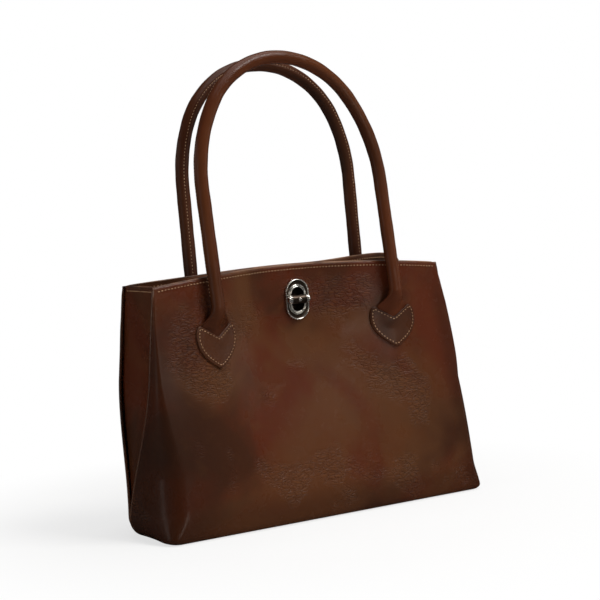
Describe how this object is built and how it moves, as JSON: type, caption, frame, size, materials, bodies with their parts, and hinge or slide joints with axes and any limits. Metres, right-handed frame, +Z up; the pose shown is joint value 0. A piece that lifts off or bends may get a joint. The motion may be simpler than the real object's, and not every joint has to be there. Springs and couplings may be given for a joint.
{
  "type": "top handle bag",
  "caption": "Trapezoid leather top handle bag with rolled handles on heart-shaped tabs, a turn lock at the top centre and folded side gussets.",
  "frame": {"origin": "centre of the base, on the surface that the bag stands on", "axes": "+X along the width to the right as seen from the front, -Y the front with the lock, +Z up"},
  "size_m": [0.3556, 0.1262, 0.4375],
  "materials": {
    "body_leather": "polished, dark brown with a reddish mottle",
    "facing_leather": "smooth, brown",
    "tab_leather": "polished, stitched edge",
    "handle_leather": "polished, lighter brown",
    "lining_suede": "matt suede",
    "base_board": "fibre board",
    "handle_core": "twisted cotton",
    "lock_metal": "polished nickel",
    "lock_steel": "plain"
  },
  "bodies": {
    "bag": {"front_panel": "body_leather", "back_panel": "body_leather", "left_gusset": "body_leather", "right_gusset": "body_leather", "base_panel": "body_leather", "base_board": "base_board", "front_facing": "facing_leather", "back_facing": "facing_leather", "left_gusset_facing": "facing_leather", "right_gusset_facing": "facing_leather", "front_lining": "lining_suede", "back_lining": "lining_suede", "left_lining": "lining_suede", "right_lining": "lining_suede", "floor_lining": "lining_suede", "front_left_handle_foot": "handle_leather", "front_right_handle_foot": "handle_leather", "rear_left_handle_foot": "handle_leather", "rear_right_handle_foot": "handle_leather", "front_left_heart_tab": "tab_leather", "front_right_heart_tab": "tab_leather", "rear_left_heart_tab": "tab_leather", "rear_right_heart_tab": "tab_leather", "front_left_patch": "facing_leather", "front_right_patch": "facing_leather", "rear_left_patch": "facing_leather", "rear_right_patch": "facing_leather", "lock_eyelet_plate": "lock_metal", "lock_backing_plate": "lock_steel", "lock_base": "lock_metal", "lock_spring_washer": "lock_steel", "lock_rivets": "lock_metal"},
    "front_handle": {"front_handle_leather": "handle_leather", "front_handle_core": "handle_core"},
    "rear_handle": {"rear_handle_leather": "handle_leather", "rear_handle_core": "handle_core"},
    "knob": {"lock_knob": "lock_metal", "lock_spindle_retainer": "lock_steel"}
  },
  "joints": [
    {"name": "front_handle_fold", "type": "hinge", "parent": "bag", "child": "front_handle", "pos_m": [0, -0.04595, 0.193], "axis": [1, 0, 0], "range_deg": [-2, 120]},
    {"name": "rear_handle_fold", "type": "hinge", "parent": "bag", "child": "rear_handle", "pos_m": [0, 0.01054, 0.193], "axis": [-1, 0, 0], "range_deg": [-2, 120]},
    {"name": "knob_turn", "type": "hinge", "parent": "bag", "child": "knob", "pos_m": [0, -0.02, 0.203], "axis": [0, -1, 0], "range_deg": [-90, 90]}
  ]
}
